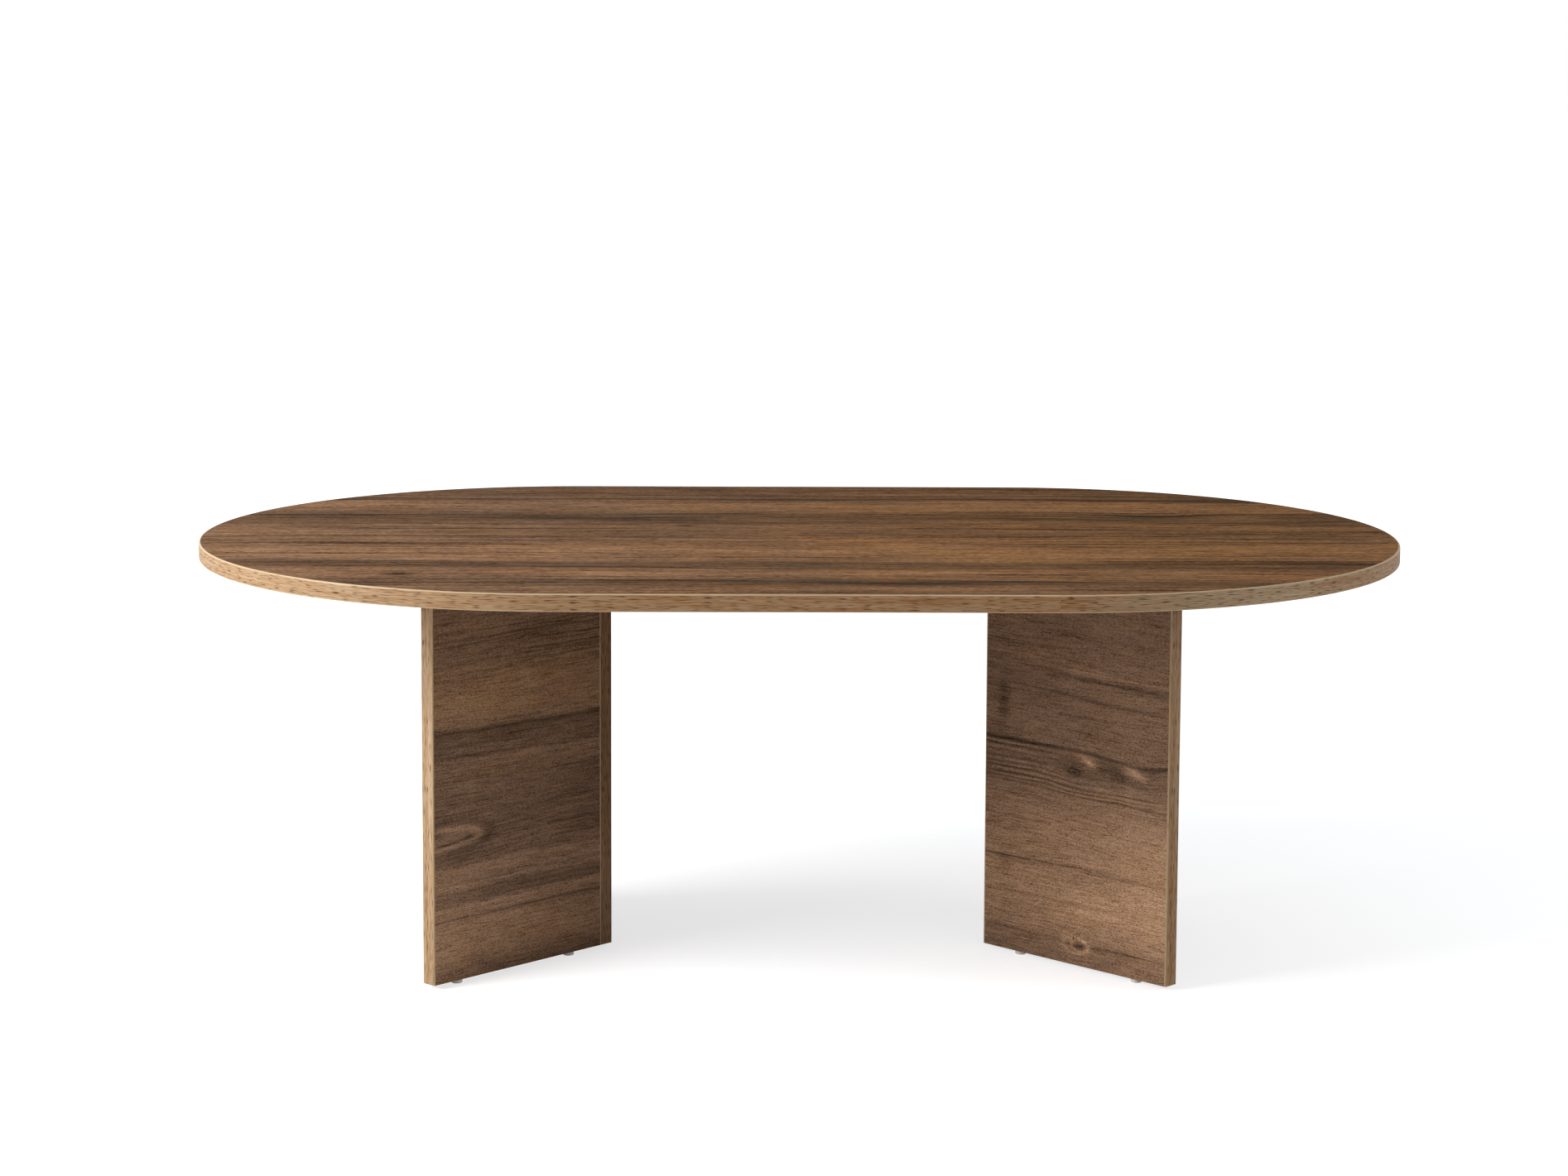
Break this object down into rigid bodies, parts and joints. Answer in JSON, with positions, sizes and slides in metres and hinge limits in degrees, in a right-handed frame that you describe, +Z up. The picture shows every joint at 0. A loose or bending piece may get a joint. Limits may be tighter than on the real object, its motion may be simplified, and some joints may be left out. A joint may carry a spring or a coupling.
{
  "type": "coffee table",
  "caption": "Low oval coffee table with half-round ends in walnut decor board, standing on V-shaped legs of upright panels.",
  "frame": {"origin": "on the floor below the middle of the table top", "axes": "+X along the length of the top, +Y across it, away from the viewer of the picture, +Z up"},
  "size_m": [1.2996, 0.8, 0.46],
  "materials": {
    "walnut_top": "satin melamine walnut decor on chipboard",
    "walnut_panel": "satin melamine walnut decor on chipboard",
    "walnut_edge": "satin printed ABS edge band, walnut decor",
    "glide_plastic": "satin moulded polyethylene, off-white",
    "nail_steel": "bright drawn wire",
    "cam_zinc": "die-cast zinc, as cast",
    "bolt_steel": "zinc-plated steel",
    "dowel_beech": "fluted beech",
    "cover_plastic": "satin moulded plastic, dark brown"
  },
  "bodies": {
    "root": {"table_top_board": "walnut_top", "table_top_edge_band": "walnut_edge", "left_leg_through_panel": "walnut_panel", "left_leg_through_panel_edge_band": "walnut_edge", "left_leg_through_panel_top_cams": "cam_zinc", "left_leg_through_panel_top_bolts": "bolt_steel", "left_leg_through_panel_top_dowel": "dowel_beech", "left_leg_through_panel_cam_covers": "cover_plastic", "left_leg_through_panel_glides": "glide_plastic", "left_leg_through_panel_glide_nails": "nail_steel", "left_leg_butt_panel": "walnut_panel", "left_leg_butt_panel_edge_band": "walnut_edge", "left_leg_butt_panel_top_cams": "cam_zinc", "left_leg_butt_panel_top_bolts": "bolt_steel", "left_leg_butt_panel_top_dowel": "dowel_beech", "left_leg_butt_panel_cam_covers": "cover_plastic", "left_leg_butt_panel_glides": "glide_plastic", "left_leg_butt_panel_glide_nails": "nail_steel", "right_leg_through_panel": "walnut_panel", "right_leg_through_panel_edge_band": "walnut_edge", "right_leg_through_panel_top_cams": "cam_zinc", "right_leg_through_panel_top_bolts": "bolt_steel", "right_leg_through_panel_top_dowel": "dowel_beech", "right_leg_through_panel_cam_covers": "cover_plastic", "right_leg_through_panel_glides": "glide_plastic", "right_leg_through_panel_glide_nails": "nail_steel", "right_leg_butt_panel": "walnut_panel", "right_leg_butt_panel_edge_band": "walnut_edge", "right_leg_butt_panel_top_cams": "cam_zinc", "right_leg_butt_panel_top_bolts": "bolt_steel", "right_leg_butt_panel_top_dowel": "dowel_beech", "right_leg_butt_panel_cam_covers": "cover_plastic", "right_leg_butt_panel_glides": "glide_plastic", "right_leg_butt_panel_glide_nails": "nail_steel", "left_leg_corner_edge_band": "walnut_edge", "left_leg_corner_cams": "cam_zinc", "left_leg_corner_bolts": "bolt_steel", "left_leg_corner_dowels": "dowel_beech", "left_leg_corner_cam_covers": "cover_plastic", "right_leg_corner_edge_band": "walnut_edge", "right_leg_corner_cams": "cam_zinc", "right_leg_corner_bolts": "bolt_steel", "right_leg_corner_dowels": "dowel_beech", "right_leg_corner_cam_covers": "cover_plastic"}
  },
  "joints": []
}
